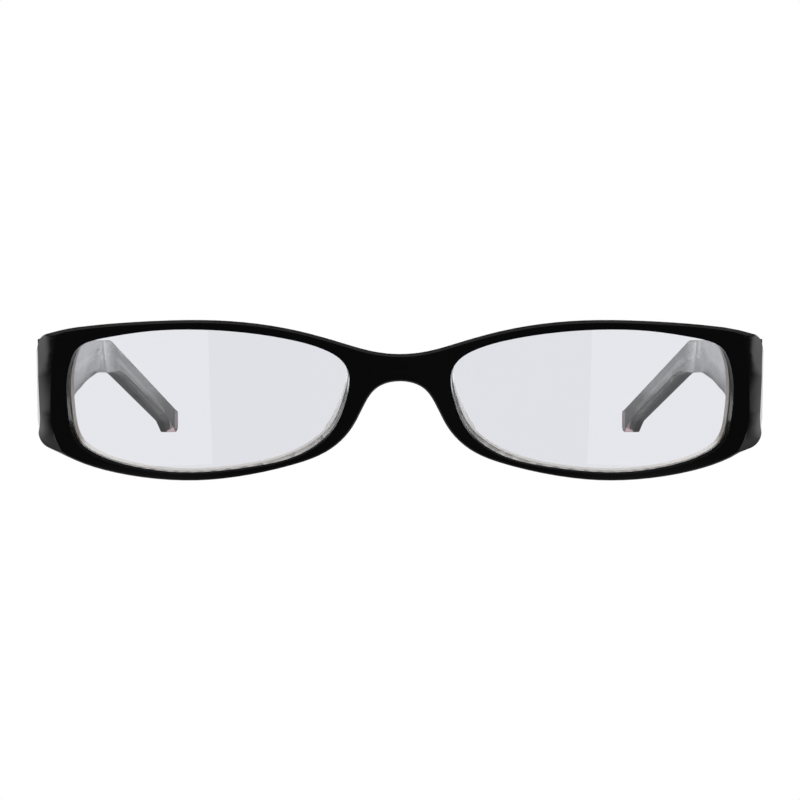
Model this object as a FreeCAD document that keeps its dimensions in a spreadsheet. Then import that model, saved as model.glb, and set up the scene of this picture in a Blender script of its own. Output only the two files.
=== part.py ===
import FreeCAD, Part
import math
import os
import Sketcher
from FreeCAD import Placement, Rotation, Vector

# Eyeglass frame: laminated front, demo lenses, sunk hinges and two folding arms.
# Millimetres, +Z up. The arms are open and the frame stands on its rims and arm tips.
# The front faces -Y. Left is the wearer's left, at +X.

doc = FreeCAD.newDocument("eyeglass_frame")

# Driving dimensions
driving = [
    ("lensWidth", 54.0, "box round one lens, across"),
    ("lensHeight", 28.8, "box round one lens, up"),
    ("bridgeWidth", 18.0, "between the two lens boxes"),
    ("lensDrop", 0.15, "lens centre below the middle of the front"),
    ("endWidth", 5.9, "lens box to the widest point of the end piece"),
    ("endFlare", 1.95, "end piece, from its front edge out to its widest point"),
    ("rimWidth", 1.4, "plastic above and below the eye opening"),
    ("faceDepth", 2.6, "front sheet of the front, thickness"),
    ("backDepth", 2.2, "back sheet of the front, thickness"),
    ("eyeBend", 132.0, "radius that each rim is bent to"),
    ("bridgeBend", 60.0, "radius of the reverse bend at the bridge"),
    ("faceForm", 4.0, "outward turn of each lens, degrees"),
    ("frontTilt", 11.5, "lean of the front as it stands, degrees"),
    ("grooveDepth", 0.5, "how far the lens edge sits in the rim"),
    ("lensSetBack", 1.3, "front face of the rim to the lens, at its sides"),
    ("lensThickness", 1.8, "lens, front to back"),
    ("lensGap", 0.05, "clearance of the lens in its groove"),
    ("edgeBevel", 0.35, "bevel along the outer front edge of the front"),
    ("facetAngle", 42.0, "facet on each end piece, degrees from straight back"),
    ("backBevel", 0.6, "slope of the back sheet's outer edge, inwards"),
    ("backSlope", 2.0, "that slope, front to back"),
    ("padReach", 4.0, "how far the nose pads stand behind the front"),
    ("padSpread", 1.8, "nose side of a pad, outwards over its reach"),
    ("padLean", 0.3, "lens side of a pad, outwards over its reach"),
    ("padTaper", 1.1, "each end of a pad, drawn in over its reach"),
    ("hingeInset", 6.2, "widest point of the end piece to the hinge pin"),
    ("hingeSetBack", 2.4, "seat of the arm to the hinge pin"),
    ("barrelRadius", 1.3, "hinge barrels"),
    ("barrelHeight", 2.2, "one hinge barrel, along the pin"),
    ("barrelGap", 0.05, "between two hinge barrels"),
    ("pinRadius", 0.65, "shank of the hinge screw"),
    ("pinGap", 0.04, "round the shank in the barrels"),
    ("headRadius", 1.05, "head of the hinge screw"),
    ("headHeight", 0.55, "head of the hinge screw"),
    ("slotWidth", 0.32, "slot in the screw's head"),
    ("leafThickness", 0.7, "hinge leaf plates"),
    ("leafLength", 9.5, "arm leaf, from the pin"),
    ("leafWidth", 3.8, "front leaf, across the end piece"),
    ("leafGap", 0.05, "round a leaf in its recess"),
    ("armGap", 0.35, "round the barrels in the arm"),
    ("seatGap", 0.1, "arm end to its seat on the front"),
    ("armDrop", 2.6, "slope of the arms as they stand, degrees"),
    ("armStraight", 94.5, "hinge pin to the bend of the arm"),
    ("armTip", 41.0, "bend of the arm to its tip, straight back"),
    ("armTurn", 18.6, "inward turn of the arm behind its bend, degrees"),
    ("armBend", 43.0, "radius of that turn, inside"),
    ("armInset", 0.6, "hinge pin to the inside of the arm"),
    ("armThickness", 3.8, "arm behind its end block"),
    ("tipThickness", 3.0, "arm at its tip"),
    ("tipRadius", 1.5, "lower corner of the arm's tip"),
    ("innerThickness", 1.7, "inner sheet of the arm"),
    ("armHeight", 20.0, "arm at its seat"),
    ("wireThickness", 1.1, "core wire, across"),
    ("wireHeight", 1.5, "core wire, up"),
    ("wireCover", 0.3, "plastic between the wire and the inside of the arm"),
    ("wireGap", 0.03, "round the core wire in its channel"),
    ("overrun", 3.0, "how far cuts run past what they cut"),
]
sheet = doc.addObject("Spreadsheet::Sheet", "sizes")
for row, (alias, value, note) in enumerate(driving, 1):
    sheet.set("A%d" % row, note)
    sheet.set("B%d" % row, str(value))
    sheet.setAlias("B%d" % row, alias)
doc.recompute()
size = {alias: float(sheet.get(alias)) for alias, value, note in driving}
placed = []

lensWidth = size["lensWidth"]
lensHeight = size["lensHeight"]
bridgeWidth = size["bridgeWidth"]
eyeBend = size["eyeBend"]
overrun = size["overrun"]
faceForm = math.radians(size["faceForm"])
frontDepth = size["faceDepth"] + size["backDepth"]

# Half of the front: lens centre, widest point, half height
lensCentre = (bridgeWidth + lensWidth) / 2
frontReach = bridgeWidth / 2 + lensWidth + size["endWidth"]
eyeHalfHeight = lensHeight / 2 - size["grooveDepth"]
eyeHalfWidth = lensWidth / 2 - size["grooveDepth"]
frontHalfHeight = eyeHalfHeight + size["rimWidth"]


# Plan of the front: an arc for each rim, and a reverse arc at the bridge.
# The front-most line of each rim's arc is at y = 0.
arcCentre = lensCentre - eyeBend * math.sin(faceForm)
bridgeTurn = math.asin(arcCentre / (eyeBend + size["bridgeBend"]))
bridgeBack = eyeBend * (1 - math.cos(bridgeTurn)) - size["bridgeBend"] * math.cos(bridgeTurn)


def rimPoint(turn, depth):
    """A point of a rim's arc, where its surface has turned outwards by turn."""
    radius = eyeBend - depth
    return (arcCentre + radius * math.sin(turn), eyeBend - radius * math.cos(turn))


def bridgePoint(turn, depth):
    radius = size["bridgeBend"] + depth
    return (radius * math.sin(turn), bridgeBack + radius * math.cos(turn))


def rimTurn(x, depth):
    """The turn of the rim's arc at a place across the front."""
    return math.asin((x - arcCentre) / (eyeBend - depth))


# The side of each end piece flares outwards from its front edge
sideFront = rimPoint(rimTurn(frontReach - size["endFlare"], 0), 0)
hingeX = frontReach - size["hingeInset"]
armInside = hingeX + size["armInset"]
seatBack = rimPoint(rimTurn(armInside, frontDepth), frontDepth)[1]
sideSlope = size["endFlare"] / (frontDepth + size["edgeBevel"])


def sidePoint(depth):
    """Where the side of the end piece meets the arc at depth."""
    x = sideFront[0]
    for step in range(12):
        x = sideFront[0] + sideSlope * (rimPoint(rimTurn(x, depth), depth)[1] - sideFront[1])
    return (x, rimPoint(rimTurn(x, depth), depth)[1])


# Outlines, chosen by eye on the front: shares of the half width and half height
eyeUpperShares = [
    (1.0, 0.05), (0.985, 0.38), (0.915, 0.665), (0.7, 0.845), (0.38, 0.962), (0.03, 1.0),
    (-0.3, 0.96), (-0.6, 0.86), (-0.83, 0.715), (-0.95, 0.555), (-1.0, 0.32),
]
eyeLowerShares = [
    (-1.0, 0.32), (-0.97, -0.02), (-0.88, -0.395), (-0.67, -0.72), (-0.3, -0.91), (0.14, -1.0),
    (0.52, -0.955), (0.8, -0.82), (0.94, -0.64), (0.99, -0.32), (1.0, 0.05),
]
browShares = [
    (0.955, 0.712), (0.865, 0.827), (0.75, 0.912), (0.62, 0.965), (0.5, 0.978),
    (0.38, 0.937), (0.26, 0.83), (0.16, 0.69), (0.08, 0.575), (0.0, 0.53),
]
underShares = [
    (0.955, -0.684), (0.88, -0.825), (0.78, -0.938), (0.67, -0.995), (0.55, -1.0), (0.42, -0.93), (0.29, -0.797),
    (0.19, -0.615), (0.13, -0.35), (0.095, -0.05), (0.065, 0.135), (0.03, 0.21), (0.0, 0.225),
]
upperCornerShares = [(0.975, 0.668), (0.984, 0.59)]
lowerCornerShares = [(0.979, -0.607), (0.955, -0.684)]
sideShares = [(0.9945, 0.38), (0.9945, -0.25), (0.985, -0.45)]
facetShares = [(0.932, 0.85), (0.938, 0.703), (0.948, 0.446), (0.954, -0.063), (0.951, -0.446),
               (0.932, -0.669), (0.917, -0.83)]

# Drawing tools


def bind(item, path, value, alias):
    """Ties a property or a sketch dimension to a cell of the sheet."""
    item.setExpression(path, "sizes.%s * %.10g" % (alias, value / size[alias]))


def newBody(name, place=Placement()):
    body = doc.addObject("PartDesign::Body", name)
    body.Label = name
    body.Placement = place
    placed.append(body)
    return body


def originPlane(body, role):
    return [item for item in body.Origin.OriginFeatures if item.Role == role][0]


def newSketch(body, name, role, offset=Placement()):
    sketch = body.newObject("Sketcher::SketchObject", body.Name + "_" + name)
    sketch.AttachmentSupport = (originPlane(body, role), "")
    sketch.MapMode = "FlatFace"
    sketch.AttachmentOffset = offset
    return sketch


def dimension(sketch, entries):
    """Adds the constraints in one go, and ties the ones that carry a size to the sheet."""
    first = sketch.ConstraintCount
    sketch.addConstraint([Sketcher.Constraint(*entry[0]) for entry in entries])
    for order, (parts, alias) in enumerate(entries):
        if alias:
            bind(sketch, "Constraints[%d]" % (first + order), parts[-1], alias)


def pointEntries(geometry, position, x, y, units):
    return [
        (("DistanceX", -1, 1, geometry, position, x), units[0]),
        (("DistanceY", -1, 1, geometry, position, y), units[1]),
    ]


def poleEntries(sketch, edge, curve, units):
    """The poles of a smooth curve, each tied to the sheet between the curve's ends."""
    poles = curve.getPoles()
    rings = sketch.addGeometry([Part.Circle(pole, Vector(0, 0, 1), 1) for pole in poles], True)
    entries = []
    for order, (ring, pole) in enumerate(zip(rings, poles)):
        kind = "InternalAlignment:Sketcher::BSplineControlPoint"
        entries.append(((kind, ring, 3, edge, order), None))
        entries.append((("Weight", ring, 1.0), None))
        if 0 < order < len(poles) - 1:
            entries += pointEntries(ring, 3, pole.x, pole.y, units)
    return entries


def drawLoop(sketch, start, runs, units, tangents=None):
    """Closes a loop of runs: one point is a straight edge, two an arc, more a smooth curve."""
    at = Vector(start[0], start[1], 0)
    ends = []
    entries = []
    for order, run in enumerate(runs):
        points = [at] + [Vector(x, y, 0) for x, y in run]
        if len(run) == 1:
            curve = Part.LineSegment(points[0], points[1])
        elif len(run) == 2:
            curve = Part.Arc(points[0], points[1], points[2])
        elif order in (tangents or {}):
            curve = Part.BSplineCurve()
            first, last = tangents[order]
            curve.interpolate(Points=points, InitialTangent=first, FinalTangent=last, Scale=False)
        else:
            curve = Part.BSplineCurve()
            curve.interpolate(points)
        edge = sketch.addGeometry(curve, False)
        at = points[-1]
        reach = [sketch.getPoint(edge, position).distanceToPoint(at) for position in (1, 2)]
        last = 1 + reach.index(min(reach))
        ends.append((edge, 3 - last, last))
        entries += pointEntries(edge, last, at.x, at.y, units)
        if len(run) == 2:
            entries.append((("Radius", edge, sketch.Geometry[edge].Radius), units[0]))
        if len(run) > 2:
            entries += poleEntries(sketch, edge, curve, units)
    for order, (edge, first, last) in enumerate(ends):
        before = ends[order - 1]
        entries.append((("Coincident", before[0], before[2], edge, first), None))
    dimension(sketch, entries)


def drawBox(sketch, low, high, units):
    drawLoop(sketch, low, [[(high[0], low[1])], [high], [(low[0], high[1])], [low]], units)


def drawCircle(sketch, centre, radius, units):
    circle = Part.Circle(Vector(centre[0], centre[1], 0), Vector(0, 0, 1), radius)
    ring = sketch.addGeometry(circle, False)
    entries = pointEntries(ring, 3, centre[0], centre[1], units)
    dimension(sketch, entries + [(("Radius", ring, radius), units[0])])


def makePad(body, name, sketch, length, alias):
    """Thickens a sketch by half the length to each side."""
    pad = body.newObject("PartDesign::Pad", body.Name + "_" + name)
    pad.Profile = sketch
    pad.SideType = "Symmetric"
    bind(pad, "Length", length, alias)
    doc.recompute()
    return pad


def makePocket(body, name, sketch, length, alias, along=None):
    """Cuts to both sides, or along a line, and checks that something was cut."""
    doc.recompute()
    before = body.Shape.Volume
    pocket = body.newObject("PartDesign::Pocket", body.Name + "_" + name)
    pocket.Profile = sketch
    pocket.SideType = "Symmetric" if along is None else "One side"
    bind(pocket, "Length", length, alias)
    if along is not None:
        pocket.UseCustomVector = True
        pocket.Direction = along
    doc.recompute()
    if not body.Shape.Volume < before:
        raise RuntimeError(pocket.Name + " cuts nothing")
    return pocket


def makeChamfer(body, name, edges, length, alias, second=None):
    before = body.Tip
    chamfer = body.newObject("PartDesign::Chamfer", body.Name + "_" + name)
    chamfer.Base = (before, edges)
    bind(chamfer, "Size", length, alias)
    if second is not None:
        chamfer.ChamferType = "Two distances"
        bind(chamfer, "Size2", second[0], second[1])
    body.Tip = chamfer
    doc.recompute()
    return chamfer


def makeMirror(body, name, features):
    mirror = body.newObject("PartDesign::Mirrored", body.Name + "_" + name)
    mirror.Originals = features
    mirror.MirrorPlane = (originPlane(body, "YZ_Plane"), [""])
    body.Tip = mirror
    doc.recompute()
    return mirror


def mirrored(points, side):
    return [(x * side, y) for x, y in points]


def scaled(shares, across, up):
    return [(x * across, y * up) for x, y in shares]


# Where the pieces stand: the front leans forward on its rims, the arms slope down
frontPlace = Placement(Vector(0, 0, 0), Rotation(Vector(1, 0, 0), size["frontTilt"]))
hands = ((1, "left"), (-1, "right"))


def lensPlace(side):
    """The lens's own frame: its centre on the front surface, its axis square to it."""
    x, y = rimPoint(faceForm, 0)
    turned = Rotation(Vector(0, 0, 1), side * size["faceForm"])
    return Placement(Vector(side * x, y, -size["lensDrop"]), turned)


def hingePlace(side):
    """The hinge's own frame: the middle of its pin, which stands parallel to the front."""
    return frontPlace * Placement(Vector(side * hingeX, seatBack + size["hingeSetBack"], 0), Rotation())


def armPlace(side):
    """The arm's own frame: the middle of the hinge pin, with the arm along Y."""
    return Placement(hingePlace(side).Base, Rotation(Vector(1, 0, 0), -size["armDrop"]))


# The front: two bent sheets with one outline


def drawSheetPlan(sketch, near, far):
    """A bent sheet in plan, between two depths behind the front face."""
    nearSide = sidePoint(near)
    farSide = sidePoint(far)
    nearMiddle = rimPoint((rimTurn(nearSide[0], near) - bridgeTurn) / 2, near)
    farMiddle = rimPoint((rimTurn(farSide[0], far) - bridgeTurn) / 2, far)
    nearJoin = rimPoint(-bridgeTurn, near)
    farJoin = rimPoint(-bridgeTurn, far)
    runs = [
        [bridgePoint(0, near), nearJoin],
        [nearMiddle, nearSide],
        [farSide],
        [farMiddle, farJoin],
        [bridgePoint(0, far)] + mirrored([farJoin], -1),
        mirrored([farMiddle, farSide], -1),
        mirrored([nearSide], -1),
        mirrored([nearMiddle, nearJoin], -1),
    ]
    drawLoop(sketch, (-nearJoin[0], nearJoin[1]), runs, ("lensWidth", "eyeBend"))


def makeSlab(name, near, far):
    body = newBody(name, frontPlace)
    plan = newSketch(body, "plan", "XY_Plane")
    drawSheetPlan(plan, near, far)
    makePad(body, "slab", plan, 2 * (frontHalfHeight + overrun), "lensHeight")
    return body


def cutOutline(body):
    """Trims the sheet to its outline: everything outside one half, then the mirror image."""
    brow = scaled(browShares, frontReach, frontHalfHeight)
    under = scaled(underShares, frontReach, frontHalfHeight)
    upper = scaled(upperCornerShares, frontReach, frontHalfHeight)
    lower = scaled(lowerCornerShares, frontReach, frontHalfHeight)
    beside = scaled(sideShares, frontReach, frontHalfHeight)
    wide = frontReach + overrun
    tall = frontHalfHeight + overrun
    flat = Vector(1, 0, 0)
    rise = Vector(brow[0][0] - brow[1][0], brow[0][1] - brow[1][1], 0)
    fall = Vector(under[1][0] - under[0][0], under[1][1] - under[0][1], 0)
    sketch = newSketch(body, "outline", "XZ_Plane")
    runs = [
        brow[-2::-1],
        upper,
    ] + [[point] for point in beside] + [
        lower,
        under[1:],
        [(0, -tall)],
        [(wide, -tall)],
        [(wide, tall)],
        [(0, tall)],
        [brow[-1]],
    ]
    tangents = {0: (flat, rise.normalize()), runs.index(under[1:]): (fall.normalize(), flat * -1)}
    drawLoop(sketch, brow[-1], runs, ("lensWidth", "lensHeight"), tangents)
    trim = makePocket(body, "trim", sketch, 2 * eyeBend, "eyeBend")
    makeMirror(body, "bothSides", [trim])


def outerEdges(body, depth):
    """The long edges round one face of the sheet, at a depth behind the front face."""
    seen = {}
    for face in body.Shape.Faces:
        u0, u1, v0, v1 = face.ParameterRange
        middle = body.Placement.inverse().multVec(face.valueAt((u0 + u1) / 2, (v0 + v1) / 2))
        if abs(middle.x) < bridgePoint(bridgeTurn, 0)[0]:
            away = abs(Vector(middle.x, middle.y - bridgeBack, 0).Length - size["bridgeBend"] - depth)
        else:
            away = abs(Vector(abs(middle.x) - arcCentre, middle.y - eyeBend, 0).Length - eyeBend + depth)
        square = face.normalAt((u0 + u1) / 2, (v0 + v1) / 2)
        if away < size["barrelGap"] and abs(square.y) > abs(square.x):
            for edge in face.Edges:
                for order, other in enumerate(body.Shape.Edges, 1):
                    if other.isSame(edge):
                        seen[order] = seen.get(order, 0) + 1
    once = [order for order in sorted(seen) if seen[order] == 1]
    spans = {order: body.Shape.Edges[order - 1].BoundBox.XLength for order in once}
    return ["Edge%d" % order for order in once if spans[order] > size["endWidth"]]


def drawEye(sketch, side, halfWidth, halfHeight):
    upper = mirrored(scaled(eyeUpperShares, halfWidth, halfHeight), side)
    lower = mirrored(scaled(eyeLowerShares, halfWidth, halfHeight), side)
    up = Vector(0, 1, 0)
    down = Vector(0, -1, 0)
    drawLoop(sketch, upper[0], [upper[1:], lower[1:]], ("lensWidth", "lensHeight"), {0: (up, down), 1: (down, up)})


def cutEye(body):
    """The opening narrows backwards, because the sheet is bent after it is cut out."""
    before = body.Shape.Volume
    rise = eyeBend - math.sqrt(eyeBend ** 2 - eyeHalfWidth ** 2)
    flatHalfWidth = eyeHalfWidth / (1 - rise / eyeBend)
    centre = lensPlace(1).Base
    turned = Placement(Vector(centre.x, centre.z, -centre.y), Rotation(Vector(0, 1, 0), size["faceForm"]))
    sections = []
    for name, back in (("eyeFront", -overrun), ("eyeBack", rise + frontDepth + overrun)):
        sketch = newSketch(body, name, "XZ_Plane", turned * Placement(Vector(0, 0, -back), Rotation()))
        drawEye(sketch, 1, flatHalfWidth * (1 - back / eyeBend), eyeHalfHeight)
        sections.append(sketch)
    loft = body.newObject("PartDesign::SubtractiveLoft", body.Name + "_eye")
    loft.Profile = sections[0]
    loft.Sections = [sections[1]]
    loft.Ruled = True
    doc.recompute()
    if not body.Shape.Volume < before:
        raise RuntimeError(loft.Name + " cuts nothing")
    return loft


def cutFacet(body):
    """The end piece's facet: its inner edge, swept outwards and back."""
    angle = math.radians(size["facetAngle"])
    plane = sideFront[1] - size["faceDepth"]
    shifted = []
    for x, z in scaled(facetShares, frontReach, frontHalfHeight):
        shifted.append((x - (rimPoint(rimTurn(x, 0), 0)[1] - plane) * math.tan(angle), z))
    wide = frontReach + overrun
    sketch = newSketch(body, "facet", "XZ_Plane", Placement(Vector(0, 0, -plane), Rotation()))
    runs = [shifted[1:], [(wide, shifted[-1][1])], [(wide, shifted[0][1])], [shifted[0]]]
    drawLoop(sketch, shifted[0], runs, ("lensWidth", "lensHeight"))
    return makePocket(body, "facetCut", sketch, 2 * frontReach, "lensWidth",
                      Vector(math.sin(angle), math.cos(angle), 0))


def cutSeat(body):
    """The flat seat of the arm, at the back of the end piece."""
    sketch = newSketch(body, "seat", "XY_Plane")
    drawBox(sketch, (hingeX, seatBack), (frontReach + overrun, seatBack + 2 * overrun), ("lensWidth", "eyeBend"))
    return makePocket(body, "seatCut", sketch, 2 * (frontHalfHeight + overrun), "lensHeight")


def makeFaceBlank():
    body = makeSlab("face_blank", 0, size["faceDepth"])
    cutOutline(body)
    makeChamfer(body, "edgeBevel", outerEdges(body, 0), size["edgeBevel"], "edgeBevel")
    eye = cutEye(body)
    facet = cutFacet(body)
    makeMirror(body, "pair", [eye, facet])
    return body


def makeBackBlank():
    body = makeSlab("back_blank", size["faceDepth"], frontDepth)
    cutOutline(body)
    slope = (size["backBevel"], "backBevel")
    makeChamfer(body, "backBevel", outerEdges(body, frontDepth), size["backSlope"], "backSlope", slope)
    eye = cutEye(body)
    seat = cutSeat(body)
    makeMirror(body, "pair", [eye, seat])
    return body


# The lenses, and the same shape grown a little for their grooves


def makeLens(name, side, grow):
    """A sheet bent like the rim, edged to the shape of the eye."""
    body = newBody(name, frontPlace * lensPlace(side))
    near = eyeBend - size["lensSetBack"] + grow
    far = eyeBend - size["lensSetBack"] - size["lensThickness"] - grow
    tall = lensHeight / 2 + overrun
    rim = lensWidth / 2 + overrun

    def onArc(x, radius):
        return (x, eyeBend - math.sqrt(radius ** 2 - x ** 2))

    plan = newSketch(body, "plan", "XY_Plane")
    runs = [
        [onArc(0, near), onArc(rim, near)],
        [onArc(rim, far)],
        [onArc(0, far), onArc(-rim, far)],
        [onArc(-rim, near)],
    ]
    drawLoop(plan, onArc(-rim, near), runs, ("lensWidth", "eyeBend"))
    makePad(body, "sheet", plan, 2 * tall, "lensHeight")
    shape = newSketch(body, "shape", "XZ_Plane")
    drawEye(shape, side, lensWidth / 2 + grow, lensHeight / 2 + grow)
    drawCircle(shape, (0, 0), 2 * rim, ("lensWidth", "lensHeight"))
    makePocket(body, "edging", shape, 2 * lensWidth, "lensWidth")
    return body


# The nose pads: a fin on the back of each rim, its nose side leaning outwards as it goes back
padNoseShares = [(0.093, 0.05), (0.115, -0.12), (0.132, -0.28), (0.157, -0.43), (0.185, -0.545)]
padLensShares = [(0.222, -0.5), (0.201, -0.4), (0.183, -0.27), (0.168, -0.12), (0.157, 0.03)]


def drawPad(sketch, side, back):
    """One section of the pad, where it has gone back by a share of its reach."""
    middle = (padNoseShares[0][1] + padNoseShares[-1][1]) / 2
    half = padNoseShares[0][1] - middle

    def drawn(shares, lean):
        points = []
        for x, z in shares:
            drawnIn = size["padTaper"] * back * (z - middle) / half
            points.append((side * (x * frontReach + lean * back), z * frontHalfHeight - drawnIn))
        return points

    nose = drawn(padNoseShares, size["padSpread"])
    lens = drawn(padLensShares, size["padLean"])
    drawLoop(sketch, nose[0], [nose[1:], [lens[0]], lens[1:], [nose[0]]], ("lensWidth", "lensHeight"))


def makeNosePad(name, side):
    base = rimPoint(rimTurn(padLensShares[2][0] * frontReach, frontDepth), frontDepth)[1]
    body = newBody(name, frontPlace)
    sections = []
    for step, behind in (("base", -size["backDepth"] / 2), ("end", size["padReach"])):
        level = Placement(Vector(0, 0, -base - behind), Rotation())
        sketch = newSketch(body, step, "XZ_Plane", level)
        drawPad(sketch, side, behind / size["padReach"])
        sections.append(sketch)
    loft = body.newObject("PartDesign::AdditiveLoft", body.Name + "_loft")
    loft.Profile = sections[0]
    loft.Sections = sections[1:]
    loft.Ruled = True
    doc.recompute()
    return body


# The hinges, in their own frame: three barrels on one screw
barrels = 3
barrelPitch = size["barrelHeight"] + size["barrelGap"]
stackHeight = barrels * barrelPitch - size["barrelGap"]
slant = math.sqrt(1 / 2)
leafInside = size["barrelRadius"] - 2 * size["armInset"]
leafBack = -size["hingeSetBack"]
armUnits = ("barrelRadius", "leafLength")
sideUnits = ("leafLength", "barrelHeight")


def cutGaps(body, places, low, high):
    """Clears a slot between barrels, right across the leaf."""
    for order in places:
        middle = (order - (barrels + 1) / 2) * barrelPitch
        reach = size["barrelHeight"] / 2 + size["barrelGap"]
        sketch = newSketch(body, "gap%d" % order, "YZ_Plane")
        drawBox(sketch, (low, middle - reach), (high, middle + reach), sideUnits)
        makePocket(body, "gapCut%d" % order, sketch, 4 * size["leafWidth"], "leafWidth")


def cutBore(body):
    sketch = newSketch(body, "bore", "XY_Plane")
    drawCircle(sketch, (0, 0), size["pinRadius"] + size["pinGap"], ("pinRadius", "pinRadius"))
    makePocket(body, "boreCut", sketch, 2 * stackHeight, "barrelHeight")


def makeFrontLeaf(name, side):
    """Barrels 1 and 3, and the plate that is sunk in the end piece."""
    body = newBody(name, hingePlace(side))
    radius = size["barrelRadius"]
    meet = math.sqrt(radius ** 2 - leafInside ** 2)
    deep = leafBack - size["leafThickness"]
    plan = newSketch(body, "plan", "XY_Plane")
    around = [(-radius * slant, radius * slant), (leafInside, -meet)]
    runs = [[(radius, deep)], [(radius, 0)], around, [(leafInside, deep)]]
    drawLoop(plan, (leafInside * side, deep), [mirrored(run, side) for run in runs], armUnits)
    makePad(body, "barrels", plan, stackHeight, "barrelHeight")
    cutGaps(body, (2,), -radius - size["armGap"], radius + overrun)
    plate = newSketch(body, "plate", "XY_Plane")
    drawBox(plate, (leafInside * side, deep), ((leafInside + size["leafWidth"]) * side, leafBack), armUnits)
    makePad(body, "platePad", plate, stackHeight, "barrelHeight")
    cutBore(body)
    return body


def makeLeafRecess(name, side):
    """The hollow in the end piece: the leaf's plate, grown by its gap."""
    body = newBody(name, hingePlace(side))
    gap = size["leafGap"]
    plate = newSketch(body, "plate", "XY_Plane")
    low = ((leafInside - gap) * side, leafBack - size["leafThickness"] - gap)
    high = ((leafInside + size["leafWidth"] + gap) * side, leafBack + overrun)
    drawBox(plate, low, high, armUnits)
    makePad(body, "platePad", plate, stackHeight + 2 * gap, "barrelHeight")
    return body


def makeArmLeaf(name, side):
    """Barrel 2, and the plate that is sunk in the inside of the arm."""
    body = newBody(name, hingePlace(side))
    radius = size["barrelRadius"]
    inside = size["armInset"]
    meet = math.sqrt(radius ** 2 - inside ** 2)
    plan = newSketch(body, "plan", "XY_Plane")
    around = [(-radius * slant, -radius * slant), (inside, meet)]
    runs = [[(radius, size["leafLength"])], [(radius, 0)], around, [(inside, size["leafLength"])]]
    drawLoop(plan, (inside * side, size["leafLength"]), [mirrored(run, side) for run in runs], armUnits)
    makePad(body, "barrels", plan, stackHeight, "barrelHeight")
    cutGaps(body, (1, 3), -radius - overrun, radius + size["armGap"])
    cutBore(body)
    return body


def makeScrew(name, side):
    body = newBody(name, hingePlace(side))
    half = stackHeight / 2
    head = half + size["headHeight"]
    profile = newSketch(body, "profile", "XZ_Plane")
    runs = [[(size["pinRadius"], -half)], [(size["pinRadius"], half)], [(size["headRadius"], half)],
            [(size["headRadius"], head)], [(0, head)], [(0, -half)]]
    drawLoop(profile, (0, -half), runs, ("pinRadius", "barrelHeight"))
    turned = body.newObject("PartDesign::Revolution", body.Name + "_pin")
    turned.Profile = profile
    turned.ReferenceAxis = (profile, ["V_Axis"])
    turned.Angle = 360
    slot = newSketch(body, "slot", "YZ_Plane")
    wide = size["slotWidth"] / 2
    drawBox(slot, (-wide, head - size["headHeight"] / 2), (wide, head + overrun), ("slotWidth", "headHeight"))
    makePocket(body, "slotCut", slot, 4 * size["headRadius"], "headRadius")
    return body


# The arms, in the arm's frame, which leans from the hinge's
lean = math.radians(size["frontTilt"] + size["armDrop"])
hingeLean = Placement(Vector(0, 0, 0), Rotation(Vector(1, 0, 0), size["frontTilt"] + size["armDrop"]))
bendStart = size["armStraight"] - size["armBend"] * math.tan(math.radians(size["armTurn"] / 2))
armTurn = math.radians(size["armTurn"])
armLength = size["armStraight"] + size["armTip"]
armHeight = size["armHeight"]
armPlan = ("armThickness", "armStraight")
armSide = ("armStraight", "armHeight")
armBottomShares = [
    (0.93, -0.38), (0.86, -0.24), (0.805, -0.05), (0.76, 0.055), (0.715, 0.1), (0.66, 0.117), (0.582, 0.109),
    (0.486, 0.0745), (0.381, 0.032), (0.272, -0.0365), (0.187, -0.0925), (0.1, -0.24), (0.035, -0.405),
]
wireShares = [(0.068, 0.118), (0.2, 0.17), (0.35, 0.225), (0.51, 0.275), (0.62, 0.295), (0.7, 0.285), (0.755, 0.2),
              (0.81, 0.035), (0.87, -0.145), (0.94, -0.335)]
seatShares = (-0.515, 0.485)
shoulderShares = [(0.702, 0.442), (0.7205, 0.4375), (0.738, 0.4)]
tipShares = [(-0.333, 1.333), (-0.083, 1.25), (0.0, 1.0)]
bendShare = 0.947
armOuterShares = [(0.62, 1.105), (0.42, 1.125), (0.236, 1.158), (0.133, 1.29), (0.085, 1.42), (0.037, 1.51), (0.0, 1.5)]


def hingeDepthY(depth, z):
    """Where a plane square to the hinge's own Y crosses the arm, at a height."""
    return (depth - z * math.sin(lean)) / math.cos(lean)


def bendPoint(offset, turn):
    """A point of the bend in plan, at an offset outwards from the inside of the arm."""
    radius = size["armBend"] + offset
    return (size["armInset"] - size["armBend"] + radius * math.cos(turn), bendStart + radius * math.sin(turn))


def tipPoint(offset):
    """A point past the tip, straight on from the bend."""
    x, y = bendPoint(offset, armTurn)
    run = size["armTip"] + overrun
    return (x - run * math.sin(armTurn), y + run * math.cos(armTurn))


def makeArmStrip(name, side, near, far, front):
    """A strip in plan between two offsets, as tall as the arm at its seat."""
    body = newBody(name, armPlace(side))
    nearX = size["armInset"] + near
    runs = [
        [(nearX, bendStart)],
        [bendPoint(near, armTurn / 2), bendPoint(near, armTurn)],
        [tipPoint(near)],
    ]
    if far is None:
        outer = [(share * size["armThickness"], along * armLength) for along, share in armOuterShares]
        thin = size["armThickness"] * bendShare
        runs += [[tipPoint(size["tipThickness"])], [bendPoint(thin, armTurn)],
                 [bendPoint(thin, armTurn / 2), bendPoint(thin, 0)], outer, [(outer[-1][0], front)]]
    else:
        runs += [[tipPoint(far)], [bendPoint(far, armTurn)],
                 [bendPoint(far, armTurn / 2), bendPoint(far, 0)], [(size["armInset"] + far, front)]]
    runs.append([(nearX, front)])
    plan = newSketch(body, "plan", "XY_Plane")
    drawLoop(plan, (nearX * side, front), [mirrored(run, side) for run in runs], armPlan)
    makePad(body, "strip", plan, 2 * armHeight, "armHeight")
    return body


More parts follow.
